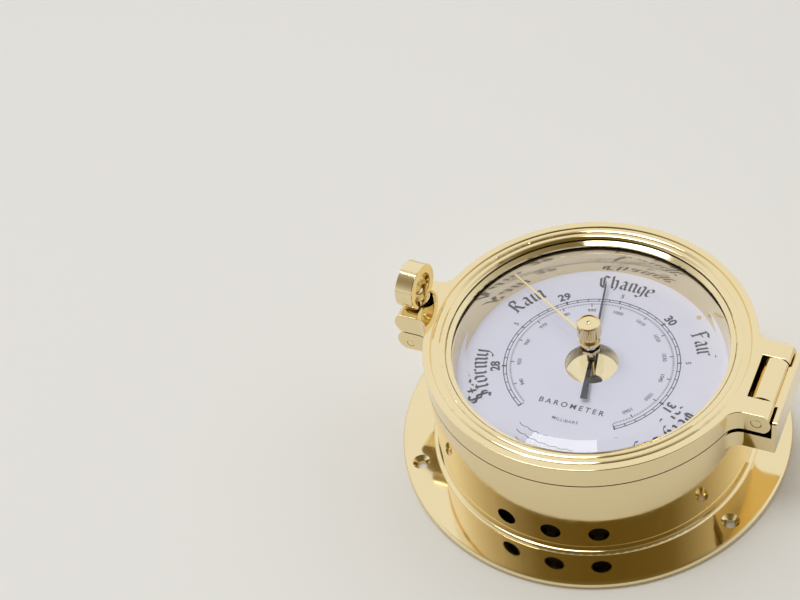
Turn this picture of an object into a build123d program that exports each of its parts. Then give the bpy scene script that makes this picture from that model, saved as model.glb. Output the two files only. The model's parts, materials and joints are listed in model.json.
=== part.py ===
"""Ship barometer: a hinged brass case with a swing-bolt latch, and its aneroid movement.

Millimetres.  The instrument lies on its back: Z is its axis, the origin is at the centre of
the flange's back face, +Y is 12 o'clock, the hinge is at +X and the latch at -X.
"""
from build123d import *
import os
from math import atan2, cos, degrees, hypot, sin, radians

os.makedirs("parts", exist_ok=True)

# ---- driving dimensions ----------------------------------------------------------------
CASE_R = 60.0  # outside of the bezel and of the case ring
FLANGE_R = 73.5
FLANGE_T = 3.0
MOUNT_PCD = 135.0
MOUNT_HOLE_R = 1.7
MOUNT_SINK_R = 3.3
BASE_TURN = 4.5  # degrees by which the mounting holes and vents are turned from 6 o'clock
DRUM_R = 59.5
DRUM_WALL = 2.0
RING_Z = 32.2  # underside of the case ring
RING_TOP = 40.7
BEZEL_Z = 41.2
BEZEL_TOP = 49.6
DIAL_TOP = 34.0
DIAL_T = 0.8
DIAL_SEEN_R = 47.0  # dial edge seen inside the reflector ring
DIAL_HOLE_R = 9.8
GLASS_R = 51.2
GLASS_Z = 42.9
GLASS_TOP = 46.9
BEVEL_R = 44.8  # inner edge of the glass's bevel
SIGHT_R = 50.0  # opening of the bezel's lip
VENT_R = 3.7
VENT_Z = 12.9
VENT_STEP = 16.5  # degrees between neighbouring vents
RUN = 0.05  # radial running clearance
GAP = 0.3  # clearance between parts that pass each other
EDGE_R = 0.35  # rounding of polished edges

HINGE_X = 65.8
HINGE_Z = 45.3
HINGE_W = 35.0
WINDOW_W = 19.6
WINDOW_X = 60.5
KNUCKLE_R = 4.7
EAR_END_R = 5.0
HINGE_PIN_R = 1.95
PLATE_X = 71.3
PLATE_T = 1.5
PLATE_TOP = 47.2
LUG_TOP = 39.3

LATCH_X = -67.8
LATCH_Z = 35.3
LATCH_W = 20.4
LATCH_PIN_R = 1.5
SLOT_R = 4.0
SLOT_END_X = -64.6
BOLT_R = 2.8
BOLT_EYE_R = 4.0
BOLT_EYE_T = 6.0
BOLT_TOP = 54.6
NUT_Z = 56.6
NUT_R = 8.7
NUT_BORE_R = 5.2
NUT_T = 7.0
NUT_TURN = -3.0  # degrees by which the closed ring nut's eye is turned from the radius

KNOB_R = 4.3
KNOB_TOP = 57.5
KNOB_FLUTES = 30
KNOB_RECESS = 0.4
KNOB_DIMPLE_R = 1.3
COLLAR_R = 3.1
SPINDLE_R = 1.2
SET_HAND_ANGLE = 149.0  # degrees from +X
SET_HAND_L = 45.4
HAND_ANGLE = 101.2
HAND_L = 40.0
HAND_TAIL = 18.8
ARBOR_R = 0.8

BASE_PLATE_Z = 6.0
BASE_PLATE_T = 1.6
BASE_PLATE_R = 41.0
CAPSULE_R = 22.0
TOP_PLATE_Z = 30.2
TOP_PLATE_T = 1.0


# ---- shapes that repeat ----------------------------------------------------------------
def turned(*points):
    """A solid turned about Z from a closed outline of (radius, height) points."""
    with BuildPart() as piece:
        with BuildSketch(Plane.XZ):
            with BuildLine():
                Polyline(*points, close=True)
            make_face()
        revolve(axis=Axis.Z)
    return piece.part


def tube(inner, outer, low, high):
    """A plain ring about Z."""
    return turned((inner, low), (outer, low), (outer, high), (inner, high))


def polar(radius, angle):
    """The point at a radius and an angle in degrees."""
    return radius * cos(radians(angle)), radius * sin(radians(angle))


def screws(places, head_r, head_z, shank_r, low, high, slot):
    """Countersunk slotted screws, heads down, one at each (x, y) place."""
    with BuildPart() as group:
        for x, y in places:
            with BuildSketch(Plane((x, y, 0), x_dir=(1, 0, 0), z_dir=(0, -1, 0))):
                with BuildLine():
                    Polyline(
                        (0, head_z),
                        (head_r, head_z),
                        (shank_r, low),
                        (shank_r, high),
                        (0, high),
                        close=True,
                    )
                make_face()
            revolve(axis=Axis((x, y, 0), (0, 0, 1)))
            with BuildSketch(Plane((x, y, head_z))):
                Rectangle(2 * head_r + 1, slot)
            extrude(amount=slot, mode=Mode.SUBTRACT)
    return group.part


def keep(part, name):
    """Label a finished piece and write it."""
    part.label = name
    export_step(part, f"parts/{name}.step")


# ---- base: flange, drum, back cover -----------------------------------------------------
MOUNT_ANGLES = [90 + BASE_TURN, 210 + BASE_TURN, 330 + BASE_TURN]
COVER_Z = 0.3
LEDGE_Z = 1.5
LEDGE_R = 53.5
COVER_R = 57.2
BEAD_OUT = 61.5
COVER_SCREW_PLACES = [polar(55.3, a) for a in (30, 150, 270)]

with BuildPart() as mounting_flange:
    with BuildSketch(Plane.XZ):
        with BuildLine():
            Polyline(
                (LEDGE_R, LEDGE_Z),
                (COVER_R + 0.1, LEDGE_Z),
                (COVER_R + 0.1, 0),
                (FLANGE_R - 1.0, 0),
            )
            ThreePointArc(
                (FLANGE_R - 1.0, 0),
                (FLANGE_R, FLANGE_T / 2),
                (FLANGE_R - 1.0, FLANGE_T),
            )
            Line((FLANGE_R - 1.0, FLANGE_T), (BEAD_OUT, FLANGE_T))
            ThreePointArc(
                (BEAD_OUT, FLANGE_T),
                (BEAD_OUT - 0.55, FLANGE_T + 0.95),
                (BEAD_OUT - 1.5, FLANGE_T + 1.3),
            )
            Polyline(
                (BEAD_OUT - 1.5, FLANGE_T + 1.3),
                (DRUM_R + 0.02, FLANGE_T + 1.3),
                (DRUM_R + 0.02, FLANGE_T),
                (LEDGE_R, FLANGE_T),
                (LEDGE_R, LEDGE_Z),
            )
        make_face()
    revolve(axis=Axis.Z)
    with Locations(*[(*polar(MOUNT_PCD / 2, a), FLANGE_T) for a in MOUNT_ANGLES]):
        CounterSinkHole(MOUNT_HOLE_R, MOUNT_SINK_R, FLANGE_T)
    with Locations(*[(x, y, FLANGE_T) for x, y in COVER_SCREW_PLACES]):
        Hole(1.0 + RUN, depth=FLANGE_T)
keep(mounting_flange.part, "mounting_flange")

with BuildPart() as case_drum:
    add(tube(DRUM_R - DRUM_WALL, DRUM_R, FLANGE_T, RING_Z))
    for step in (-1, 0, 1):
        around = -90 + BASE_TURN + step * VENT_STEP
        wall = Plane(
            (*polar(DRUM_R - DRUM_WALL - 1, around), VENT_Z),
            x_dir=(0, 0, 1),
            z_dir=(*polar(1, around), 0),
        )
        with BuildSketch(wall):
            Circle(VENT_R)
        extrude(amount=DRUM_WALL + 3, mode=Mode.SUBTRACT)
keep(case_drum.part, "case_drum")

ADJUST_X = -34.0
POST_PLACES = [polar(36, a) for a in (60, 180 + 60, 300)]
with BuildPart() as back_cover:
    add(tube(0, COVER_R, COVER_Z, LEDGE_Z))
    with Locations((ADJUST_X, 0, LEDGE_Z)):
        Hole(4.0, depth=3)
    with Locations(Plane.YX.offset(-COVER_Z)):
        with Locations(*[(y, x) for x, y in COVER_SCREW_PLACES + POST_PLACES]):
            CounterSinkHole(1.0 + RUN, 2.0 + RUN, 3)
keep(back_cover.part, "back_cover")
keep(screws(COVER_SCREW_PLACES, 2.0, COVER_Z, 1.0, 1.3, 2.9, 0.5), "back_cover_screws")

# ---- case ring with its hinge and latch lugs ---------------------------------------------
FILLET_R = 6.0


def lug_plan(end_x, width, low, high, inner_r):
    """A lug grown out of the case circle towards end_x, its roots filleted."""
    with BuildPart() as blank:
        with BuildSketch(Plane.XY.offset(low)) as plan:
            Circle(CASE_R)
            with Locations((end_x / 2, 0)):
                Rectangle(abs(end_x), width)
            roots = [
                v
                for v in plan.vertices()
                if abs(abs(v.Y) - width / 2) < 0.01 and abs(v.X) < CASE_R
            ]
            fillet([v for v in roots if v.X * end_x > 0], FILLET_R)
            Circle(inner_r, mode=Mode.SUBTRACT)
            with Locations((-end_x, 0)):
                Rectangle(2 * abs(end_x), 3 * CASE_R, mode=Mode.SUBTRACT)
        extrude(amount=high - low)
    return blank.part


def ended(blank, end_x, end_z, width):
    """The blank with its free end rounded about an axis along Y through (end_x, end_z)."""
    with BuildPart() as rounded:
        add(blank)
        with BuildSketch(Plane.XZ) as outline:
            with Locations((end_x / 2, end_z)):
                Rectangle(abs(end_x), 2 * EAR_END_R)
            with Locations((end_x, end_z)):
                Circle(EAR_END_R)
        extrude(amount=width, both=True, mode=Mode.INTERSECT)
    return rounded.part


REFLECTOR_R = 49.75  # outside of the reflector ring
SEAT_R = 45.5  # the ledge that carries the dial
hinge_lug = lug_plan(PLATE_X + PLATE_T, HINGE_W, RING_Z, LUG_TOP, REFLECTOR_R + 2)
latch_lug = ended(
    lug_plan(LATCH_X - 5.2, LATCH_W, RING_Z, RING_TOP, REFLECTOR_R + 2),
    LATCH_X,
    (RING_Z + RING_TOP) / 2,
    LATCH_W,
)
with BuildPart() as case_ring:
    add(
        turned(
            (SEAT_R, RING_Z - 2),
            (DRUM_R - DRUM_WALL - 0.05, RING_Z - 2),
            (DRUM_R - DRUM_WALL - 0.05, RING_Z),
            (CASE_R, RING_Z),
            (CASE_R, RING_TOP),
            (REFLECTOR_R + 0.1, RING_TOP),
            (REFLECTOR_R + 0.1, DIAL_TOP - DIAL_T),
            (SEAT_R, DIAL_TOP - DIAL_T),
        )
    )
    add(hinge_lug)
    add(latch_lug)
    # the knuckle, the web that carries it and the stop plate outside it
    with BuildSketch(Plane.XZ):
        with Locations((HINGE_X, HINGE_Z)):
            Circle(KNUCKLE_R)
        with BuildLine():
            Polyline(
                (HINGE_X - KNUCKLE_R, HINGE_Z),
                (HINGE_X - KNUCKLE_R, LUG_TOP - 1),
                (PLATE_X + 1, LUG_TOP - 1),
                (PLATE_X + 1, PLATE_TOP - 0.3),
                (HINGE_X, PLATE_TOP - 0.3),
                (HINGE_X, HINGE_Z),
                close=True,
            )
        make_face()
    extrude(amount=WINDOW_W / 2 - GAP, both=True)
    with BuildSketch(Plane.YZ.offset(PLATE_X)) as plate:
        with Locations((0, (RING_Z + PLATE_TOP) / 2)):
            Rectangle(HINGE_W, PLATE_TOP - RING_Z)
        fillet(plate.vertices().group_by(Axis.Z)[-1], 1.2)
    extrude(amount=PLATE_T)
    with BuildSketch(Plane.XZ):
        with Locations((HINGE_X, HINGE_Z)):
            Circle(HINGE_PIN_R + 0.01)
    extrude(amount=WINDOW_W, both=True, mode=Mode.SUBTRACT)
    # the latch lug is forked for the eye of the swing bolt
    with BuildSketch(Plane.XY.offset(RING_Z - 1)):
        with Locations((LATCH_X - 2, 0)):
            Rectangle(2 * (BOLT_EYE_R + 2.4), BOLT_EYE_T + 2 * GAP)
    extrude(amount=RING_TOP - RING_Z + 2, mode=Mode.SUBTRACT)
    with BuildSketch(Plane.XZ):
        with Locations((LATCH_X, LATCH_Z)):
            Circle(LATCH_PIN_R + 0.01)
    extrude(amount=LATCH_W, both=True, mode=Mode.SUBTRACT)
keep(case_ring.part, "case_ring")

with BuildPart() as hinge_pin:
    with BuildSketch(Plane.XZ):
        with Locations((HINGE_X, HINGE_Z)):
            Circle(HINGE_PIN_R)
    extrude(amount=HINGE_W / 2 - 0.1, both=True)
    chamfer(hinge_pin.edges().filter_by(GeomType.CIRCLE), 0.3)
keep(hinge_pin.part, "hinge_pin")

with BuildPart() as latch_pin:
    with BuildSketch(Plane.XZ):
        with Locations((LATCH_X, LATCH_Z)):
            Circle(LATCH_PIN_R)
    extrude(amount=LATCH_W / 2 - 0.1, both=True)
    chamfer(latch_pin.edges().filter_by(GeomType.CIRCLE), 0.25)
keep(latch_pin.part, "latch_pin")

REFLECTOR_TOP = GLASS_Z - 0.3
keep(
    turned(
        (DIAL_SEEN_R, DIAL_TOP),
        (REFLECTOR_R, DIAL_TOP),
        (REFLECTOR_R, REFLECTOR_TOP),
        (REFLECTOR_R - 0.3, REFLECTOR_TOP),
    ),
    "reflector_ring",
)

# ---- bezel, glass and what holds it --------------------------------------------------------
LAND_R = 57.4  # inner edge of the flat outer land, flush with the ears
hinge_ears = ended(
    lug_plan(HINGE_X + 6, HINGE_W, BEZEL_Z, BEZEL_TOP, LAND_R),
    HINGE_X,
    HINGE_Z,
    HINGE_W,
)
latch_ear = ended(
    lug_plan(LATCH_X - 6, LATCH_W, BEZEL_Z, BEZEL_TOP, LAND_R),
    LATCH_X,
    (BEZEL_Z + BEZEL_TOP) / 2,
    LATCH_W,
)
LIP_Z = 46.0  # underside of the lip, on which the gasket bears
with BuildPart() as bezel_ring:
    with BuildSketch(Plane.XZ):
        with BuildLine():
            Polyline(
                (CASE_R, BEZEL_Z),
                (CASE_R, BEZEL_TOP),
                (LAND_R, BEZEL_TOP),
                (LAND_R - 0.2, BEZEL_TOP - 0.45),
            )
            ThreePointArc(
                (LAND_R - 0.2, BEZEL_TOP - 0.45),
                (55.8, BEZEL_TOP - 0.05),
                (54.3, BEZEL_TOP - 0.65),
            )
            ThreePointArc(
                (54.3, BEZEL_TOP - 0.65),
                (53.1, BEZEL_TOP - 0.4),
                (51.8, BEZEL_TOP - 1.3),
            )
            Polyline(
                (51.8, BEZEL_TOP - 1.3),
                (51.6, BEZEL_TOP - 2.1),
                (SIGHT_R, BEZEL_TOP - 2.9),
                (SIGHT_R, LIP_Z),
                (GLASS_R + 0.2, LIP_Z),
                (GLASS_R + 0.2, BEZEL_Z),
                (CASE_R, BEZEL_Z),
            )
        make_face()
    revolve(axis=Axis.Z)
    add(hinge_ears)
    add(latch_ear)
    with BuildSketch(Plane.XY.offset(BEZEL_Z - 1)):
        with Locations((WINDOW_X + 10, 0)):
            Rectangle(20, WINDOW_W)
        with Locations((SLOT_END_X - 10, 0)):
            Rectangle(20, 2 * SLOT_R)
        with Locations((SLOT_END_X, 0)):
            Circle(SLOT_R)
    extrude(amount=BEZEL_TOP - BEZEL_Z + 2, mode=Mode.SUBTRACT)
    with BuildSketch(Plane.XZ):
        with Locations((HINGE_X, HINGE_Z)):
            Circle(HINGE_PIN_R + RUN)
    extrude(amount=HINGE_W, both=True, mode=Mode.SUBTRACT)
    top_edges = bezel_ring.edges().filter_by_position(Axis.Z, BEZEL_TOP - 0.01, BEZEL_TOP + 0.01)
    outside = [e for e in top_edges if min(hypot(v.X, v.Y) for v in e.vertices()) > LAND_R + 1]
    fillet(outside, EDGE_R)
keep(bezel_ring.part, "bezel_ring")

keep(
    turned(
        (2.6, GLASS_Z),
        (GLASS_R, GLASS_Z),
        (GLASS_R, LIP_Z - 0.5),
        (SIGHT_R + 0.4, LIP_Z - 0.5),
        (BEVEL_R, GLASS_TOP),
        (2.6, GLASS_TOP),
    ),
    "glass",
)
keep(tube(SIGHT_R + 0.5, GLASS_R, LIP_Z - 0.5, LIP_Z), "glass_gasket")
keep(tube(SIGHT_R, GLASS_R + 0.15, GLASS_Z - 1, GLASS_Z), "glass_retaining_ring")

# ---- set hand, its knob and the bush in the glass --------------------------------------------
BUSH_TOP = GLASS_TOP + 0.8
BUSH_NUT_Z = GLASS_Z - 1.3
keep(
    turned(
        (SPINDLE_R + RUN, BUSH_NUT_Z),
        (2.2, BUSH_NUT_Z),
        (2.2, GLASS_Z),
        (2.5, GLASS_Z),
        (2.5, GLASS_TOP),
        (3.5, GLASS_TOP),
        (3.3, BUSH_TOP),
        (SPINDLE_R + RUN, BUSH_TOP),
    ),
    "knob_bush",
)
with BuildPart() as bush_nut:
    with BuildSketch(Plane.XY.offset(BUSH_NUT_Z)):
        RegularPolygon(3.6, 6)
        Circle(2.2 + RUN, mode=Mode.SUBTRACT)
    extrude(amount=GLASS_Z - BUSH_NUT_Z)
keep(bush_nut.part, "bush_nut")

HEAD_Z = 51.2
SPINDLE_LOW = BUSH_NUT_Z - 0.9
with BuildPart() as set_knob:
    with BuildSketch(Plane.XZ):
        with BuildLine():
            Polyline(
                (SPINDLE_R + 0.01, BUSH_TOP + 0.1),
                (COLLAR_R, BUSH_TOP + 0.1),
                (COLLAR_R, HEAD_Z),
                (KNOB_R - 0.4, HEAD_Z),
                (KNOB_R, HEAD_Z + 0.4),
                (KNOB_R, KNOB_TOP - 0.5),
                (KNOB_R - 0.5, KNOB_TOP),
                (0, KNOB_TOP),
                (0, HEAD_Z + 2.0),
                (SPINDLE_R + 0.01, HEAD_Z + 2.0),
                close=True,
            )
        make_face()
    revolve(axis=Axis.Z)
    with BuildSketch(Plane.XY.offset(KNOB_TOP)):
        Circle(KNOB_R - 0.8)
    extrude(amount=-KNOB_RECESS, mode=Mode.SUBTRACT)
    with Locations((0, 0, KNOB_TOP - KNOB_RECESS + 0.9)):
        Sphere(KNOB_DIMPLE_R, mode=Mode.SUBTRACT)
    with BuildSketch(Plane.XY.offset(HEAD_Z - 0.1)):
        with PolarLocations(KNOB_R, KNOB_FLUTES):
            RegularPolygon(0.38, 4)
    extrude(amount=KNOB_TOP - HEAD_Z + 0.2, mode=Mode.SUBTRACT)
keep(set_knob.part, "set_knob")

with BuildPart() as set_spindle:
    add(tube(0, SPINDLE_R, SPINDLE_LOW, HEAD_Z + 1.9))
    add(tube(0, 2.1, SPINDLE_LOW, BUSH_NUT_Z - 0.1))
keep(set_spindle.part, "set_spindle")

SET_HAND_Z = 48.4
with BuildPart() as set_hand:
    add(tube(COLLAR_R + 0.01, COLLAR_R + 0.8, SET_HAND_Z - 0.2, SET_HAND_Z + 0.6))
    with BuildSketch(Plane.XY.offset(SET_HAND_Z).rotated((0, 0, SET_HAND_ANGLE))):
        with BuildLine():
            Polyline(
                (COLLAR_R + 0.5, -0.5),
                (SET_HAND_L - 3, -0.28),
                (SET_HAND_L, 0),
                (SET_HAND_L - 3, 0.28),
                (COLLAR_R + 0.5, 0.5),
                close=True,
            )
        make_face()
    extrude(amount=0.4)
keep(set_hand.part, "set_hand")

# ---- dial -----------------------------------------------------------------------------------
DIAL_SCREW_PLACES = [polar(44.6, -133), polar(44.6, 47)]
with BuildPart() as dial_plate:
    add(tube(DIAL_HOLE_R, REFLECTOR_R - 0.1, DIAL_TOP - DIAL_T, DIAL_TOP))
    with Locations(*[(x, y, DIAL_TOP) for x, y in DIAL_SCREW_PLACES]):
        Hole(0.6, depth=DIAL_T)
keep(dial_plate.part, "dial_plate")
keep(tube(DIAL_HOLE_R, DIAL_HOLE_R + 1.2, TOP_PLATE_Z + TOP_PLATE_T, DIAL_TOP - DIAL_T), "dial_spacer")
with BuildPart() as dial_screws:
    for x, y in DIAL_SCREW_PLACES:
        with Locations((x, y, DIAL_TOP)):
            Cylinder(0.85, 0.3, align=(Align.CENTER, Align.CENTER, Align.MIN))
        with Locations((x, y, DIAL_TOP)):
            Cylinder(0.55, 2.4, align=(Align.CENTER, Align.CENTER, Align.MAX))
keep(dial_screws.part, "dial_screws")

# ---- movement frame ----------------------------------------------------------------------------
PLATE_UP = BASE_PLATE_Z + BASE_PLATE_T
with BuildPart() as movement_posts:
    for x, y in POST_PLACES:
        with BuildSketch(Plane((x, y, LEDGE_Z))):
            Circle(3.0)
            Circle(1.0 + RUN, mode=Mode.SUBTRACT)
        extrude(amount=BASE_PLATE_Z - LEDGE_Z)
keep(movement_posts.part, "movement_posts")
keep(
    screws(POST_PLACES, 2.0, COVER_Z, 1.0, 1.3, PLATE_UP, 0.5),
    "movement_screws",
)

PILLAR_PLACES = [polar(29, a) for a in (90, 215, 325)]
with BuildPart() as movement_base_plate:
    add(tube(0, BASE_PLATE_R, BASE_PLATE_Z, PLATE_UP))
    with Locations(*[(x, y, PLATE_UP) for x, y in POST_PLACES]):
        Hole(1.0 + RUN, depth=3)
    with Locations((ADJUST_X, 0, PLATE_UP)):
        Hole(1.5 + RUN, depth=3)
keep(movement_base_plate.part, "movement_base_plate")

with BuildPart() as movement_pillars:
    for x, y in PILLAR_PLACES:
        with Locations((x, y, PLATE_UP)):
            Cylinder(2.0, TOP_PLATE_Z - PLATE_UP, align=(Align.CENTER, Align.CENTER, Align.MIN))
keep(movement_pillars.part, "movement_pillars")

SCREW_HEAD_T = 0.9
with BuildPart() as top_plate:
    with BuildSketch(Plane.XY.offset(TOP_PLATE_Z)):
        Circle(13.5)
        for x, y in PILLAR_PLACES:
            with Locations(Plane.XY.rotated((0, 0, degrees(atan2(y, x))))):
                with Locations((14.5, 0)):
                    Rectangle(29, 8)
            with Locations((x, y)):
                Circle(4.0)
        Circle(ARBOR_R + RUN, mode=Mode.SUBTRACT)
        with Locations(polar(6.2, -60)):
            Circle(2.6, mode=Mode.SUBTRACT)
    extrude(amount=TOP_PLATE_T)
keep(top_plate.part, "top_plate")
with BuildPart() as top_plate_screws:
    for x, y in PILLAR_PLACES:
        with Locations((x, y, TOP_PLATE_Z + TOP_PLATE_T)):
            Cylinder(1.9, SCREW_HEAD_T, align=(Align.CENTER, Align.CENTER, Align.MIN))
        with BuildSketch(Plane((x, y, TOP_PLATE_Z + TOP_PLATE_T + SCREW_HEAD_T))):
            Rectangle(5, 0.5)
        extrude(amount=-0.4, mode=Mode.SUBTRACT)
keep(top_plate_screws.part, "top_plate_screws")

# ---- aneroid capsule and mainspring ------------------------------------------------------------
CAPSULE_Z = PLATE_UP + 1.0
CAPSULE_T = 6.0
CORRUGATIONS = 4
with BuildPart() as aneroid_capsule:
    with BuildSketch(Plane.XZ):
        top = [
            (
                CAPSULE_R - 2 - i * 2.2,
                CAPSULE_Z + CAPSULE_T + (0.45 if i % 2 else -0.15),
            )
            for i in range(2 * CORRUGATIONS)
        ]
        with BuildLine():
            Polyline(
                (0, PLATE_UP),
                (5, PLATE_UP),
                (5, CAPSULE_Z),
                (CAPSULE_R - 1.5, CAPSULE_Z),
                (CAPSULE_R, CAPSULE_Z + CAPSULE_T / 2 - 0.4),
                (CAPSULE_R, CAPSULE_Z + CAPSULE_T / 2 + 0.4),
                top[0],
            )
            Spline(*top)
            Polyline(
                top[-1],
                (3.0, CAPSULE_Z + CAPSULE_T + 0.3),
                (3.0, CAPSULE_Z + CAPSULE_T + 1.0),
                (0, CAPSULE_Z + CAPSULE_T + 1.0),
                (0, PLATE_UP),
            )
        make_face()
    revolve(axis=Axis.Z)
keep(aneroid_capsule.part, "aneroid_capsule")

SPRING_W = 14.0
SPRING_T = 1.0
SPRING_LOW = 20.0
ARCH_X = -28.0
ARCH_R = (SPRING_LOW + SPRING_T - PLATE_UP) / 2
with BuildPart() as mainspring:
    with BuildSketch(Plane.XZ):
        with BuildLine():
            Line((ARCH_X + 3, PLATE_UP), (ARCH_X, PLATE_UP))
            ThreePointArc(
                (ARCH_X, PLATE_UP),
                (ARCH_X - ARCH_R, PLATE_UP + ARCH_R),
                (ARCH_X, PLATE_UP + 2 * ARCH_R),
            )
            Polyline(
                (ARCH_X, PLATE_UP + 2 * ARCH_R),
                (4, PLATE_UP + 2 * ARCH_R),
                (4, SPRING_LOW),
                (ARCH_X, SPRING_LOW),
            )
            ThreePointArc(
                (ARCH_X, SPRING_LOW),
                (ARCH_X - ARCH_R + SPRING_T, PLATE_UP + ARCH_R),
                (ARCH_X, PLATE_UP + SPRING_T),
            )
            Polyline(
                (ARCH_X, PLATE_UP + SPRING_T),
                (ARCH_X + 3, PLATE_UP + SPRING_T),
                (ARCH_X + 3, PLATE_UP),
            )
        make_face()
    extrude(amount=SPRING_W / 2, both=True)
    with Locations((0, 0, SPRING_LOW + SPRING_T)):
        Hole(2.2, depth=3)
keep(mainspring.part, "mainspring")

STUD_LOW = CAPSULE_Z + CAPSULE_T + 1.4
STUD_TOP = 23.4
with BuildPart() as capsule_stud:
    add(tube(0, 1.5, STUD_LOW, STUD_TOP))
keep(capsule_stud.part, "capsule_stud")

with BuildPart() as adjusting_screw:
    add(tube(0, 3.0, 3.4, 4.6))
    add(tube(0, 1.5, 4.6, PLATE_UP - 0.1))
    with BuildSketch(Plane.XY.offset(3.4)):
        Rectangle(8, 0.8)
    extrude(amount=0.6, mode=Mode.SUBTRACT)
adjusting = Pos(ADJUST_X, 0, 0) * adjusting_screw.part
keep(adjusting, "adjusting_screw")

# ---- lever train ------------------------------------------------------------------------------
LEVER_X = -7.0
LEVER_Z = 24.4
LEVER_END = 28.0
LEVER_T = 1.0
ROCK_X = 38.2
ROCK_Z = 18.5
ROCK_ARM = 9.0
DRUM_Z = ROCK_Z + ROCK_ARM
PIVOT_R = 0.6
with BuildPart() as lever_bracket:
    for side in (-1, 1):
        with BuildSketch(Plane((0, side * 3.4, 0), x_dir=(1, 0, 0), z_dir=(0, -1, 0))):
            with Locations((LEVER_X, (SPRING_LOW + SPRING_T + LEVER_Z) / 2 + 0.6)):
                Rectangle(3.6, LEVER_Z - SPRING_LOW - SPRING_T + 1.2)
            with Locations((LEVER_X, LEVER_Z)):
                Circle(PIVOT_R + RUN, mode=Mode.SUBTRACT)
        extrude(amount=0.5, both=True)
    with BuildSketch(Plane.XY.offset(SPRING_LOW + SPRING_T)):
        with Locations((LEVER_X, 0)):
            Rectangle(3.6, 7.8)
    extrude(amount=0.6)
keep(lever_bracket.part, "lever_bracket")

with BuildPart() as main_lever:
    with BuildSketch(Plane.XY.offset(LEVER_Z - LEVER_T / 2)):
        with BuildLine():
            Polyline(
                (LEVER_X - 1.4, -2.4),
                (LEVER_X + 3, -2.4),
                (LEVER_END, -1.1),
                (LEVER_END, 1.1),
                (LEVER_X + 3, 2.4),
                (LEVER_X - 1.4, 2.4),
                close=True,
            )
        make_face()
    extrude(amount=LEVER_T)
    with BuildSketch(Plane.XZ):
        with Locations((LEVER_X, LEVER_Z)):
            Circle(PIVOT_R)
    extrude(amount=3.9, both=True)
keep(main_lever.part, "main_lever")

with BuildPart() as rocker_bracket:
    with BuildSketch(Plane.XY.offset(PLATE_UP)):
        with Locations((ROCK_X - 1.2, 0)):
            Rectangle(5, 19)
    extrude(amount=0.8)
    for side in (-1, 1):
        with BuildSketch(Plane((0, side * 9, 0), x_dir=(1, 0, 0), z_dir=(0, -1, 0))):
            with Locations((ROCK_X, (PLATE_UP + ROCK_Z + 1.6) / 2)):
                Rectangle(2.6, ROCK_Z + 1.6 - PLATE_UP)
            with Locations((ROCK_X, ROCK_Z)):
                Circle(PIVOT_R + RUN, mode=Mode.SUBTRACT)
        extrude(amount=0.5, both=True)
keep(rocker_bracket.part, "rocker_bracket")

ARM_END = LEVER_END - 0.5
ARM_Z = LEVER_Z - 1.9
with BuildPart() as rocking_bar:
    with BuildSketch(Plane.XZ):
        with Locations((ROCK_X, ROCK_Z)):
            Circle(1.1)
    extrude(amount=8.2, both=True)
    with BuildSketch(Plane.XZ):
        with Locations((ROCK_X, ROCK_Z)):
            Circle(PIVOT_R)
    extrude(amount=9.6, both=True)
    with BuildSketch(Plane.XZ):
        with BuildLine():
            Polyline(
                (ROCK_X, ROCK_Z - 0.8),
                (ROCK_X, ROCK_Z + 0.8),
                (ROCK_X - 2, ARM_Z),
                (ARM_END, ARM_Z),
                (ARM_END, ARM_Z - 0.8),
                (ROCK_X - 3, ARM_Z - 0.8),
                close=True,
            )
        make_face()
    extrude(amount=0.6, both=True)
    with BuildSketch(Plane((0, -4, 0), x_dir=(1, 0, 0), z_dir=(0, -1, 0))):
        with Locations((ROCK_X, ROCK_Z + ROCK_ARM / 2)):
            Rectangle(1.2, ROCK_ARM)
    extrude(amount=0.5, both=True)
keep(rocking_bar.part, "rocking_bar")

CHAIN_W = 0.5
DRUM_SPOOL_R = 0.9
with BuildPart() as fusee_chain:
    with BuildSketch(Plane.XY.offset(DRUM_Z - CHAIN_W)):
        with BuildLine():
            Polyline(
                (1.6, -DRUM_SPOOL_R - 0.2),
                (ROCK_X - 3.6, -3.9),
                (ROCK_X - 3.6, -3.9 - CHAIN_W),
                (1.6, -DRUM_SPOOL_R - 0.2 - CHAIN_W),
                close=True,
            )
        make_face()
    extrude(amount=CHAIN_W)
keep(fusee_chain.part, "fusee_chain")

# ---- pointer arbor with its hairspring ------------------------------------------------------------
LOWER_PLATE_Z = 25.9
COLLET_Z = 28.6
with BuildPart() as arbor_cock:
    with BuildSketch(Plane.XY.offset(LOWER_PLATE_Z)):
        with Locations((0, -4)):
            Rectangle(5, 11)
        Circle(ARBOR_R + RUN, mode=Mode.SUBTRACT)
    extrude(amount=0.7)
    with BuildSketch(Plane.XY.offset(LOWER_PLATE_Z)):
        with Locations((0, -8.6)):
            Rectangle(5, 1.8)
    extrude(amount=TOP_PLATE_Z - LOWER_PLATE_Z)
keep(arbor_cock.part, "arbor_cock")

HAND_Z = DIAL_TOP + 2.2
with BuildPart() as pointer_arbor:
    add(tube(0, ARBOR_R, LOWER_PLATE_Z, HAND_Z + 1.5))
    add(tube(0, DRUM_SPOOL_R, DRUM_Z - 0.6, DRUM_Z + 0.3))
    add(tube(0, 1.3, COLLET_Z, COLLET_Z + 0.8))
keep(pointer_arbor.part, "pointer_arbor")

COILS = 3
COIL_PITCH = 1.0
COIL_START = 1.7
with BuildPart() as hairspring:
    steps = 16 * COILS
    inner = [
        polar(COIL_START + COIL_PITCH * i / 16, 360 * i / 16) for i in range(steps + 1)
    ]
    outer = [
        polar(COIL_START + 0.15 + COIL_PITCH * i / 16, 360 * i / 16)
        for i in range(steps + 1)
    ]
    with BuildSketch(Plane.XY.offset(COLLET_Z + 0.2)):
        with BuildLine():
            Spline(*inner)
            Line(inner[-1], outer[-1])
            Spline(*outer)
            Line(inner[0], outer[0])
        make_face()
    extrude(amount=0.4)
keep(hairspring.part, "hairspring")

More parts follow.
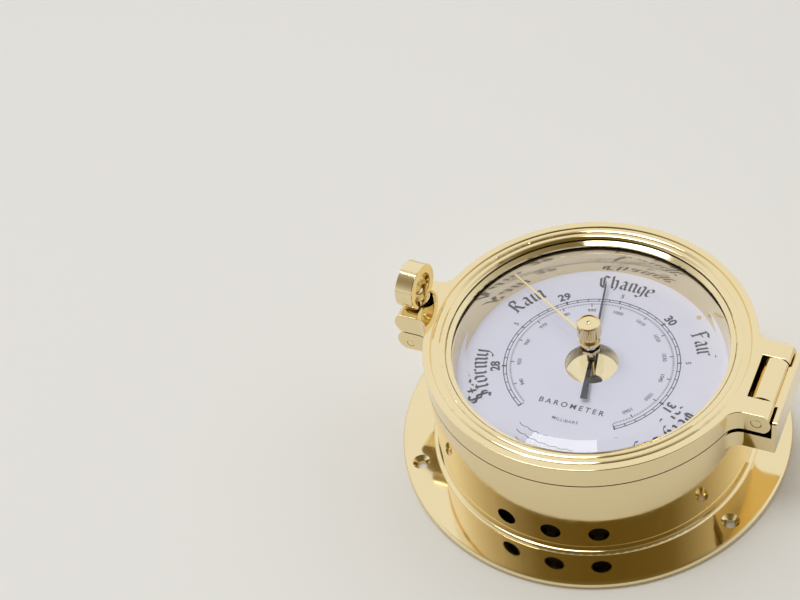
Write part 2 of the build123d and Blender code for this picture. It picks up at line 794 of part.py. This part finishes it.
STUD_X = COIL_START + COIL_PITCH * COILS + 0.15
with BuildPart() as hairspring_stud:
    with Locations((STUD_X + 0.5, 0, COLLET_Z)):
        Cylinder(0.5, TOP_PLATE_Z - COLLET_Z, align=(Align.CENTER, Align.CENTER, Align.MIN))
keep(hairspring_stud.part, "hairspring_stud")

with BuildPart() as indicator_hand:
    add(tube(ARBOR_R + 0.01, 1.5, HAND_Z - 0.4, HAND_Z + 1.2))
    with BuildSketch(Plane.XY.offset(HAND_Z).rotated((0, 0, HAND_ANGLE))):
        with BuildLine():
            Polyline(
                (1.3, 0.6),
                (22, 0.42),
                (HAND_L - 3, 0.3),
                (HAND_L, 0),
                (HAND_L - 3, -0.3),
                (22, -0.42),
                (1.3, -0.6),
            )
            Polyline((1.3, -0.6), (1.3, 0.6))
        make_face()
        with BuildLine():
            Polyline(
                (-1.3, -0.7),
                (-1.3, 0.7),
                (-HAND_TAIL, 1.25),
                (-HAND_TAIL, -1.25),
                close=True,
            )
        make_face()
    extrude(amount=0.35)
keep(indicator_hand.part, "indicator_hand")

# ---- swing-bolt latch -----------------------------------------------------------------------------
WASHER_Z = BEZEL_TOP + 0.2
WASHER_T = 0.8
WASHER_R = 5.0
with BuildPart() as latch_bolt:
    with BuildSketch(Plane.XZ):
        with Locations((LATCH_X, LATCH_Z)):
            Circle(BOLT_EYE_R)
    extrude(amount=BOLT_EYE_T / 2, both=True)
    with BuildSketch(Plane((LATCH_X, 0, LATCH_Z))):
        Circle(BOLT_R)
    extrude(amount=BOLT_TOP - LATCH_Z)
    fillet(latch_bolt.edges().sort_by(Axis.Z)[-1], 0.9)
    with BuildSketch(Plane.XZ):
        with Locations((LATCH_X, LATCH_Z)):
            Circle(LATCH_PIN_R + RUN)
    extrude(amount=BOLT_EYE_T, both=True, mode=Mode.SUBTRACT)
keep(latch_bolt.part, "latch_bolt")

with BuildPart() as nut_washer:
    with BuildSketch(Plane((LATCH_X, 0, WASHER_Z))):
        Circle(WASHER_R)
        Circle(BOLT_R + 0.1, mode=Mode.SUBTRACT)
    extrude(amount=WASHER_T)
    fillet(nut_washer.edges().filter_by(GeomType.CIRCLE).group_by(SortBy.RADIUS)[-1], 0.25)
keep(nut_washer.part, "nut_washer")

NUT_SEAT = WASHER_Z + WASHER_T + 0.02
EYE_PLANE = Plane(
    (LATCH_X, 0, NUT_Z),
    x_dir=(*polar(1, 90 + NUT_TURN), 0),
    z_dir=(*polar(1, NUT_TURN), 0),
)
with BuildPart() as ring_nut:
    with BuildSketch(EYE_PLANE):
        Circle(NUT_R)
    extrude(amount=NUT_T / 2, both=True)
    with BuildSketch(Plane((LATCH_X, 0, NUT_SEAT))):
        Circle(4.4)
    extrude(amount=3.0)
    with BuildSketch(EYE_PLANE):
        Circle(NUT_BORE_R)
    extrude(amount=NUT_T, both=True, mode=Mode.SUBTRACT)
    with BuildSketch(Plane((LATCH_X, 0, NUT_SEAT))):
        Circle(NUT_R + 2)
    extrude(amount=-4, mode=Mode.SUBTRACT)
    with BuildSketch(Plane((LATCH_X, 0, NUT_SEAT - 1))):
        Circle(BOLT_R + RUN)
    extrude(amount=4, mode=Mode.SUBTRACT)
    eye_edges = [
        e
        for e in ring_nut.edges().filter_by(GeomType.CIRCLE)
        if e.radius > NUT_BORE_R - 0.1 and e.length > NUT_BORE_R * 4
    ]
    fillet(eye_edges, EDGE_R)
keep(ring_nut.part, "ring_nut")
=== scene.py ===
"""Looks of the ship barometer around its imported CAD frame.

Lengths are in millimetres until MM turns them to metres.
"""

import json
from math import cos, pi, radians, sin

import bmesh
import bpy
from mathutils import Matrix, Vector


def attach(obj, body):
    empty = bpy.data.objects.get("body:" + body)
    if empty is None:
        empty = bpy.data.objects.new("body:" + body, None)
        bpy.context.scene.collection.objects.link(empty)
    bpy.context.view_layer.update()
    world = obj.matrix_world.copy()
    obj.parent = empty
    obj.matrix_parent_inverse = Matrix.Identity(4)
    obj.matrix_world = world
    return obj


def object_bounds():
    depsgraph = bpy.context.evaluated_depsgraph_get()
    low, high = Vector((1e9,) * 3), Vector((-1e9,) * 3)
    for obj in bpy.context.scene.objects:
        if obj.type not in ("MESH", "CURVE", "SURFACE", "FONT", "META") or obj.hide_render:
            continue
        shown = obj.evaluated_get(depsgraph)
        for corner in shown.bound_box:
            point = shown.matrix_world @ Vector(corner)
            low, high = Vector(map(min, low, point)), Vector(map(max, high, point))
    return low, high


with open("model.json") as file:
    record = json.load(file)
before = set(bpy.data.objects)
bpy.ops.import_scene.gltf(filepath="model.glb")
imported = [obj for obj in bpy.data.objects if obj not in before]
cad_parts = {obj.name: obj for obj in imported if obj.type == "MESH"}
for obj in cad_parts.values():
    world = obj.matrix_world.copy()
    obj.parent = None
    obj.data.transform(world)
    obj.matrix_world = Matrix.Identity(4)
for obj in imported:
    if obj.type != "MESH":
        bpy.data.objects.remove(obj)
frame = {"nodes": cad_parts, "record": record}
CAD_BOX = [list(v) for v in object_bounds()]
NODES = frame["nodes"]
MM = 0.001

CAMERA_DISTANCE, CAMERA_ELEVATION, CAMERA_TURN = 567.1, 48.59, 23
CAMERA_YAW, CAMERA_PITCH, CAMERA_ROLL = 2.57, 1.44, 4.38
AIM_HEIGHT = 30
SENSOR_WIDTH, FOCAL_LENGTH = 36, 69.8
SHIFT_X, SHIFT_Y = -0.15, 0.05


# ---- camera ---------------------------------------------------------------------------------
def make_camera():
    """A camera that looks down on the instrument; returns the direction towards it."""
    distance, elevation, turn = CAMERA_DISTANCE, radians(CAMERA_ELEVATION), radians(CAMERA_TURN)
    yaw, pitch, roll = radians(CAMERA_YAW), radians(CAMERA_PITCH), radians(CAMERA_ROLL)
    place = Vector((0, -distance * cos(elevation), AIM_HEIGHT + distance * sin(elevation)))
    right = Vector((1, 0, 0))
    forward = Vector((0, cos(elevation), -sin(elevation)))
    up = right.cross(forward)
    spin = Matrix.Rotation(yaw, 3, up)
    right, forward = spin @ right, spin @ forward
    spin = Matrix.Rotation(pitch, 3, right)
    forward, up = spin @ forward, spin @ up
    spin = Matrix.Rotation(roll, 3, forward)
    right, up = spin @ right, spin @ up
    spin = Matrix.Rotation(turn, 3, "Z")
    place, right, up, forward = spin @ place, spin @ right, spin @ up, spin @ forward
    lens = bpy.data.cameras.new("camera")
    lens.sensor_width = SENSOR_WIDTH
    lens.lens = FOCAL_LENGTH
    lens.shift_x = SHIFT_X
    lens.shift_y = SHIFT_Y
    lens.clip_start, lens.clip_end = 0.01, 20
    camera = bpy.data.objects.new("camera", lens)
    bpy.context.scene.collection.objects.link(camera)
    axes = Matrix((right, up, -forward)).transposed()
    camera.matrix_world = Matrix.Translation(place * MM) @ axes.to_4x4()
    bpy.context.scene.camera = camera
    return (place * MM).normalized()


TO_CAMERA = make_camera()


# ---- materials ------------------------------------------------------------------------------
class Look:
    """A Principled material and short ways to link nodes to it."""

    def __init__(self, name, **values):
        self.material = bpy.data.materials.new(name)
        self.material.use_nodes = True
        self.tree = self.material.node_tree
        self.shader = self.tree.nodes["Principled BSDF"]
        for key, value in values.items():
            self.shader.inputs[key.replace("_", " ")].default_value = value
        self.place = self.tree.nodes.new("ShaderNodeTexCoord").outputs["Object"]

    def node(self, kind, **values):
        made = self.tree.nodes.new("ShaderNode" + kind)
        for key, value in values.items():
            setattr(made, key, value)
        return made

    def link(self, source, target):
        self.tree.links.new(source, target)

    def noise(self, scale, detail=3.0, stretch=None, roughness=0.5):
        made = self.node("TexNoise")
        made.inputs["Scale"].default_value = scale
        made.inputs["Detail"].default_value = detail
        made.inputs["Roughness"].default_value = roughness
        source = self.place
        if stretch:
            mapping = self.node("Mapping")
            mapping.inputs["Scale"].default_value = stretch
            self.link(source, mapping.inputs["Vector"])
            source = mapping.outputs["Vector"]
        self.link(source, made.inputs["Vector"])
        return made.outputs["Fac"]

    def spread(self, source, low, high, start=0.3, end=0.7):
        made = self.node("MapRange")
        names = ("From Min", "From Max", "To Min", "To Max")
        for key, value in zip(names, (start, end, low, high)):
            made.inputs[key].default_value = value
        self.link(source, made.inputs["Value"])
        return made.outputs["Result"]

    def blend_colour(self, source, first, second):
        made = self.node("Mix", data_type="RGBA")
        self.link(source, made.inputs[0])
        made.inputs[6].default_value = (*first, 1)
        made.inputs[7].default_value = (*second, 1)
        self.link(made.outputs[2], self.shader.inputs["Base Color"])

    def roughness(self, source, low, high):
        self.link(self.spread(source, low, high), self.shader.inputs["Roughness"])

    def bump(self, source, strength, distance):
        made = self.node("Bump")
        made.inputs["Strength"].default_value = strength
        made.inputs["Distance"].default_value = distance
        self.link(source, made.inputs["Height"])
        self.link(made.outputs["Normal"], self.shader.inputs["Normal"])


def metal(name, first, second, low, high, bump=0.02, grain=900.0, stretch=None):
    """Metal with a slight drift of colour, uneven polish and fine rubbing marks."""
    look = Look(name, Metallic=1.0)
    look.blend_colour(look.noise(35, 4), first, second)
    look.roughness(look.noise(160, 6, stretch), low, high)
    look.bump(look.noise(grain, 4, stretch), bump, 0.00005)
    return look.material


def make_dial_paint():
    look = Look("dial_paint", Roughness=0.4)
    look.blend_colour(look.noise(25, 3), (0.555, 0.555, 0.68), (0.59, 0.588, 0.715))
    look.roughness(look.noise(400, 3), 0.36, 0.48)
    look.bump(look.noise(2500, 2), 0.04, 0.00003)
    return look.material


def make_ink():
    look = Look("dial_ink", Roughness=0.5)
    look.blend_colour(look.noise(800, 3), (0.012, 0.012, 0.018), (0.03, 0.03, 0.04))
    look.roughness(look.noise(900, 2), 0.4, 0.6)
    return look.material


def make_blued():
    look = Look("blued_steel", Metallic=0.85)
    look.blend_colour(look.noise(180, 4), (0.022, 0.026, 0.04), (0.05, 0.055, 0.075))
    look.roughness(look.noise(500, 4), 0.24, 0.38)
    look.bump(look.noise(1500, 3), 0.05, 0.00003)
    return look.material


def make_rubber():
    look = Look("rubber")
    look.blend_colour(look.noise(300, 4), (0.015, 0.015, 0.015), (0.035, 0.034, 0.032))
    look.roughness(look.noise(700, 4), 0.6, 0.85)
    look.bump(look.noise(1800, 4), 0.2, 0.00005)
    return look.material


def make_glass():
    """Clear glass that lets the lamps' light straight through to what it covers."""
    look = Look("glass", Roughness=0.0, IOR=1.5)
    look.shader.inputs["Transmission Weight"].default_value = 1.0
    look.shader.inputs["Base Color"].default_value = (0.985, 0.995, 0.99, 1)
    clear = look.node("BsdfTransparent")
    mix = look.node("MixShader")
    look.link(look.node("LightPath").outputs["Is Shadow Ray"], mix.inputs[0])
    look.link(look.shader.outputs[0], mix.inputs[1])
    look.link(clear.outputs[0], mix.inputs[2])
    look.link(mix.outputs[0], look.tree.nodes["Material Output"].inputs["Surface"])
    return look.material


POLISHED = metal("polished_brass", (0.86, 0.72, 0.42), (0.91, 0.77, 0.48), 0.05, 0.10)
PLAIN = metal("plain_brass", (0.72, 0.57, 0.28), (0.80, 0.65, 0.35), 0.16, 0.30, 0.06)
STEEL = metal("steel", (0.50, 0.51, 0.53), (0.60, 0.61, 0.62), 0.18, 0.32, 0.08, stretch=(1, 8, 1))
SPRING = metal("spring_steel", (0.36, 0.38, 0.42), (0.46, 0.47, 0.50), 0.16, 0.28, 0.05)
NICKEL = metal("nickel", (0.62, 0.60, 0.55), (0.70, 0.68, 0.62), 0.2, 0.34, 0.05)
PAINT, INK, BLUED = make_dial_paint(), make_ink(), make_blued()
RUBBER, GLASS = make_rubber(), make_glass()
LOOKS = {
    "polished_brass": POLISHED,
    "plain_brass": PLAIN,
    "steel": STEEL,
    "blued_steel": BLUED,
    "dial_paint": PAINT,
    "glass": GLASS,
    "rubber": RUBBER,
}
SPECIAL = {
    "aneroid_capsule": NICKEL,
    "mainspring": SPRING,
    "hairspring": SPRING,
    "pointer_arbor": POLISHED,
}
for part in frame["record"]["subparts"]:
    node = NODES[part["node"]]
    node.data.materials.clear()
    node.data.materials.append(SPECIAL.get(part["node"], LOOKS[part["material_slot"]]))


# ---- dial print ------------------------------------------------------------------------------
INK_LOW, INK_HIGH = 33.99, 34.03
BAND_IN, BAND_OUT = 31.0, 32.1
BAR_RING = 29.9
TURN_PER_INCH = 73.0
MIDDLE = 29.5
BAR_PER_INCH = 33.864
SCALE_LOW, SCALE_HIGH = 27.5, 31.5


def at_inches(value):
    """Angle of a pressure in inches of mercury, anticlockwise from +X."""
    return 90 - TURN_PER_INCH * (value - MIDDLE)


def polar(radius, angle):
    return radius * cos(radians(angle)), radius * sin(radians(angle))


class Print:
    """Thin closed prisms of ink on the dial, gathered in one mesh."""

    def __init__(self):
        self.mesh = bmesh.new()

    def prism(self, outline):
        rings = [
            [self.mesh.verts.new((x * MM, y * MM, z * MM)) for x, y in outline]
            for z in (INK_LOW, INK_HIGH)
        ]
        count = len(outline)
        self.mesh.faces.new(rings[1])
        self.mesh.faces.new(rings[0][::-1])
        for i in range(count):
            j = (i + 1) % count
            self.mesh.faces.new((rings[0][i], rings[0][j], rings[1][j], rings[1][i]))

    def tick(self, low, high, angle, width):
        (a, b), (c, d) = polar(low, angle), polar(high, angle)
        x, y = polar(width / 2, angle + 90)
        self.prism([(a + x, b + y), (a - x, b - y), (c - x, d - y), (c + x, d + y)])

    def arc(self, radius, width, start, end):
        steps = max(2, int(abs(end - start) / 2))
        for i in range(steps):
            a = start + (end - start) * i / steps
            b = start + (end - start) * (i + 1) / steps
            low, high = radius - width / 2, radius + width / 2
            self.prism([polar(low, a), polar(high, a), polar(high, b), polar(low, b)])

    def lettering(
        self, words, size, radius, angle, weight, upright=False, spacing=1.0, straight=False
    ):
        """Type set round an arc, with its feet to the middle, or its head there if upright.

        Straight type isn't bent: its line lies radius below the middle.
        """
        curve = bpy.data.curves.new("type", "FONT")
        curve.body = words
        curve.size = size
        curve.offset = weight
        curve.space_character = spacing
        curve.resolution_u = 3
        curve.align_x = "CENTER"
        curve.align_y = "CENTER"
        curve.extrude = (INK_HIGH - INK_LOW) / 2
        setter = bpy.data.objects.new("type", curve)
        made = bpy.data.meshes.new_from_object(setter)
        for v in made.vertices:
            x, y, z = v.co
            z = (z + (INK_LOW + INK_HIGH) / 2) * MM
            if straight:
                v.co = (x * MM, (y - radius) * MM, z)
                continue
            bend = x / radius * 180 / pi
            if upright:
                where = polar(radius - y, angle + bend)
            else:
                where = polar(radius + y, angle - bend)
            v.co = (where[0] * MM, where[1] * MM, z)
        self.mesh.from_mesh(made)
        bpy.data.objects.remove(setter)
        bpy.data.curves.remove(curve)
        bpy.data.meshes.remove(made)


def minim(x):
    """An upright stroke of a broad pen, one unit high, with its entry and its foot."""
    return [(x - 0.12, 0.84), (x, 0.97), (x, 0.1), (x + 0.13, -0.03)]


def hump(x):
    """A stroke that springs from the upright before it."""
    return [(x - 0.4, 0.86), (x - 0.13, 1.0), (x, 0.88), (x, 0.1), (x + 0.13, -0.03)]


# Each letter is its width and its pen strokes.
LETTERS = {
    "i": (0.36, [minim(0.15), [(0.10, 1.26), (0.20, 1.34)]]),
    "n": (0.80, [minim(0.15), hump(0.55)]),
    "m": (1.20, [minim(0.15), hump(0.55), hump(0.95)]),
    "r": (0.60, [minim(0.15), [(0.18, 0.80), (0.40, 1.0), (0.50, 0.88)]]),
    "a": (
        0.78,
        [
            [(0.12, 0.80), (0.30, 1.0), (0.50, 0.85), (0.50, 0.10), (0.63, -0.03)],
            [(0.50, 0.60), (0.15, 0.45), (0.12, 0.14), (0.28, 0.0), (0.50, 0.14)],
        ],
    ),
    "o": (
        0.78,
        [
            [(0.35, 1.0), (0.10, 0.82), (0.10, 0.15), (0.32, -0.02)],
            [(0.32, -0.02), (0.58, 0.15), (0.58, 0.82), (0.35, 1.0)],
        ],
    ),
    "e": (
        0.74,
        [
            [(0.35, 1.0), (0.10, 0.82), (0.10, 0.15), (0.32, -0.02), (0.56, 0.14)],
            [(0.35, 1.0), (0.55, 0.82), (0.52, 0.62), (0.12, 0.46)],
        ],
    ),
    "t": (
        0.58,
        [[(0.20, 1.30), (0.20, 0.12), (0.34, -0.02), (0.46, 0.08)], [(0.02, 0.94), (0.44, 0.94)]],
    ),
    "h": (
        0.80,
        [
            [(0.15, 1.44), (0.15, 0.10), (0.26, -0.03)],
            [(0.15, 0.84), (0.42, 1.0), (0.55, 0.88), (0.55, 0.1), (0.42, -0.26)],
        ],
    ),
    "g": (
        0.78,
        [
            [(0.35, 1.0), (0.12, 0.82), (0.12, 0.2), (0.30, 0.05), (0.52, 0.2)],
            [(0.35, 1.0), (0.55, 0.88), (0.55, -0.28), (0.32, -0.44), (0.06, -0.30)],
        ],
    ),
    "y": (
        0.78,
        [
            [(0.0, 0.86), (0.12, 0.97), (0.12, 0.2), (0.30, 0.02), (0.52, 0.18)],
            [(0.44, 0.86), (0.56, 0.97), (0.56, -0.05), (0.32, -0.42), (0.06, -0.38)],
        ],
    ),
    "S": (
        0.96,
        [
            [
                (0.76, 1.22), (0.50, 1.42), (0.18, 1.24), (0.18, 0.92),
                (0.66, 0.58), (0.66, 0.20), (0.38, -0.02), (0.08, 0.18),
            ],
            [(0.42, 1.30), (0.42, 0.12)],
        ],
    ),
    "R": (
        1.02,
        [
            [(0.20, 1.34), (0.20, 0.05)],
            [(0.02, 1.20), (0.30, 1.42), (0.62, 1.30), (0.62, 0.92), (0.28, 0.72)],
            [(0.36, 0.72), (0.70, 0.10), (0.88, 0.0)],
            [(0.0, 0.0), (0.30, 0.04)],
        ],
    ),
    "C": (
        0.98,
        [
            [(0.80, 1.20), (0.50, 1.42), (0.15, 1.15), (0.15, 0.25), (0.45, -0.02), (0.82, 0.22)],
            [(0.42, 1.28), (0.42, 0.16)],
        ],
    ),
    "F": (
        0.86,
        [
            [(0.20, 1.34), (0.20, 0.0)],
            [(0.02, 1.28), (0.34, 1.42), (0.76, 1.28)],
            [(0.08, 0.76), (0.60, 0.84)],
            [(0.02, 0.0), (0.32, 0.03)],
        ],
    ),
    "V": (
        0.96,
        [
            [
                (0.05, 1.24), (0.20, 1.40), (0.20, 0.2), (0.42, -0.02),
                (0.72, 0.25), (0.72, 1.15), (0.56, 1.40),
            ],
            [(0.44, 1.18), (0.44, 0.1)],
        ],
    ),
    "D": (
        1.0,
        [
            [(0.20, 1.34), (0.20, 0.05)],
            [(0.02, 1.24), (0.45, 1.42), (0.80, 1.15), (0.80, 0.25), (0.45, -0.02), (0.05, 0.08)],
            [(0.46, 1.2), (0.46, 0.2)],
        ],
    ),
    " ": (0.5, []),
}
NIB, NIB_TURN = 0.23, 38.0


def pen_word(ink, word, wide, tall, radius, angle):
    """A word written with a broad pen round the dial, centred at angle on the circle of radius."""
    width = sum(LETTERS[letter][0] for letter in word)
    nib = polar(NIB / 2, NIB_TURN)
    x = -width / 2
    for letter in word:
        advance, strokes = LETTERS[letter]
        for stroke in strokes:
            for (a, b), (c, d) in zip(stroke, stroke[1:]):
                corners = [(a, b, -1), (a, b, 1), (c, d, 1), (c, d, -1)]
                outline = []
                for px, py, side in corners:
                    along = (x + px + side * nib[0]) * wide
                    away = (py - 0.65 + side * nib[1]) * tall
                    outline.append(polar(radius + away, angle - along / radius * 180 / pi))
                ink.prism(outline)
        x += advance


def waves(ink, radius, start, end):
    """A row of small rolling waves drawn along an arc."""
    steps = round(end - start)
    for i in range(steps):
        ends = []
        for j in (i, i + 1):
            angle = start + (end - start) * j / steps
            ends.append((radius + WAVE_HEIGHT * abs(sin(radians(WAVE_STEP * j))), angle))
        (low_a, a), (low_b, b) = ends
        high_a, high_b = low_a + WAVE_LINE, low_b + WAVE_LINE
        ink.prism([polar(high_a, a), polar(high_b, b), polar(low_b, b), polar(low_a, a)])


# Each word of the weather scale, how wide one unit of its letters is, and the angle of its middle.
WORDS = (
    ("Stormy", 5.0, 204),
    ("Rain", 5.1, 146),
    ("Change", 4.6, 90),
    ("Fair", 4.6, 30),
    ("Very Dry", 4.4, -32),
)
WORD_TALL, WORD_RING = 4.3, 41.2
INCH_RING, INCH_SIZE = 35.0, 4.7
HALF_RING, HALF_SIZE = 34.8, 2.8
BAR_NAME_RING, BAR_NAME_SIZE = 26.3, 2.1
LONG_MARK, MIDDLE_MARK = 32.7, 32.5
TEN_BAR_IN, ONE_BAR_IN, HALF_BAR_IN = 28.3, 29.1, 29.4
# Each row of waves: its radius and how far it reaches to each side of WAVES_MIDDLE, in degrees.
WAVE_ROWS = ((36.5, 17), (39.3, 14), (42.1, 10))
WAVES_MIDDLE = -97
WAVE_HEIGHT, WAVE_LINE, WAVE_STEP = 0.55, 0.28, 30


def print_dial():
    ink = Print()
    low, high = at_inches(SCALE_LOW), at_inches(SCALE_HIGH)
    for radius, width in ((BAND_OUT, 0.36), (BAND_IN, 0.30)):
        ink.arc(radius, width, low, high)
    for end in (low, high):
        ink.tick(BAR_RING, BAND_OUT, end, 0.3)
    for tenth in range(275, 316):
        value = tenth / 10
        if tenth % 10 == 0:
            length, width = LONG_MARK, 0.7
        elif tenth % 5 == 0:
            length, width = MIDDLE_MARK, 0.55
        else:
            length, width = BAND_OUT, 0.36
        ink.tick(BAND_IN, length, at_inches(value), width)
    for bar in range(932, 1067):
        angle = at_inches(bar / BAR_PER_INCH)
        if bar % 10 == 0:
            ink.tick(TEN_BAR_IN, BAR_RING, angle, 0.45)
            ink.lettering(str(bar), BAR_NAME_SIZE, BAR_NAME_RING, angle, 0.03)
        else:
            ink.tick(ONE_BAR_IN, BAR_RING, angle, 0.28)
        ink.tick(HALF_BAR_IN, BAR_RING, angle - TURN_PER_INCH / BAR_PER_INCH / 2, 0.16)
    for inch in (28, 29, 30, 31):
        ink.lettering(str(inch), INCH_SIZE, INCH_RING, at_inches(inch), 0.16)
    for half in (28.5, 29.5, 30.5):
        ink.lettering("5", HALF_SIZE, HALF_RING, at_inches(half), 0.04)
    for word, wide, angle in WORDS:
        pen_word(ink, word, wide, WORD_TALL, WORD_RING, angle)
    ink.lettering("MILLIBARS", 1.9, 28.4, -90, 0.01, upright=True, spacing=1.15)
    ink.lettering("BAROMETER", 3.2, 21.5, 0, 0.05, spacing=1.5, straight=True)
    for row, reach in WAVE_ROWS:
        waves(ink, row, WAVES_MIDDLE - reach, WAVES_MIDDLE + reach)
    data = bpy.data.meshes.new("dial_print")
    bmesh.ops.recalc_face_normals(ink.mesh, faces=ink.mesh.faces)
    ink.mesh.to_mesh(data)
    ink.mesh.free()
    data.materials.clear()
    data.materials.append(INK)
    piece = bpy.data.objects.new("dial_print", data)
    bpy.context.scene.collection.objects.link(piece)
    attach(piece, "case")


print_dial()


# ---- room ------------------------------------------------------------------------------------
# Colours of the room by the cosine of the angle from the camera's direction.
ROOM_BEHIND_CAMERA = (0.15, 0.11, 0.03)
ROOM_BETWEEN = (
    (0.35, (1.0, 1.0, 1.0)),
    (0.66, (0.50, 0.46, 0.38)),
    (0.86, (0.19, 0.15, 0.06)),
)
ROOM_STRENGTH = 0.92
LAMP_PLACE, LAMP_SIZE, LAMP_POWER = (-0.3, -0.1, 1.4), (0.6, 0.6), 6
FLOOR_HALF, FLOOR_GAP = 3.0, 0.0001


def make_world():
    """A pale room that is dim and warm towards the camera's side, as behind a photographer."""
    world = bpy.data.worlds.new("room")
    bpy.context.scene.world = world
    world.use_nodes = True
    tree = world.node_tree
    sky = tree.nodes["Background"]
    coords = tree.nodes.new("ShaderNodeTexCoord")
    dot = tree.nodes.new("ShaderNodeVectorMath")
    dot.operation = "DOT_PRODUCT"
    dot.inputs[1].default_value = TO_CAMERA
    tree.links.new(coords.outputs["Generated"], dot.inputs[0])
    ramp = tree.nodes.new("ShaderNodeValToRGB")
    ramp.color_ramp.elements[0].position = 0.0
    ramp.color_ramp.elements[0].color = (1.0, 1.0, 1.0, 1)
    ramp.color_ramp.elements[1].position = 1.0
    ramp.color_ramp.elements[1].color = (*ROOM_BEHIND_CAMERA, 1)
    for place, colour in ROOM_BETWEEN:
        ramp.color_ramp.elements.new(place).color = (*colour, 1)
    tree.links.new(dot.outputs["Value"], ramp.inputs["Fac"])
    tree.links.new(ramp.outputs["Color"], sky.inputs["Color"])
    sky.inputs["Strength"].default_value = ROOM_STRENGTH


def make_lamp(name, place, size, power):
    lamp = bpy.data.lights.new(name, "AREA")
    lamp.shape = "RECTANGLE"
    lamp.size, lamp.size_y = size
    lamp.energy = power
    made = bpy.data.objects.new(name, lamp)
    bpy.context.scene.collection.objects.link(made)
    made.location = place
    made.rotation_euler = (-Vector(place)).to_track_quat("-Z", "Y").to_euler()


def make_floor():
    data = bpy.data.meshes.new("floor")
    half, z = FLOOR_HALF, CAD_BOX[0][2] - FLOOR_GAP
    corners = [(-half, -half, z), (half, -half, z), (half, half, z), (-half, half, z)]
    data.from_pydata(corners, [], [(0, 1, 2, 3)])
    floor = bpy.data.objects.new("floor", data)
    bpy.context.scene.collection.objects.link(floor)
    look = Look("floor", Roughness=0.8)
    look.shader.inputs["Base Color"].default_value = (0.9, 0.9, 0.9, 1)
    data.materials.append(look.material)


make_world()
make_lamp("top_lamp", LAMP_PLACE, LAMP_SIZE, LAMP_POWER)
bpy.context.scene.view_settings.view_transform = "Standard"
make_floor()
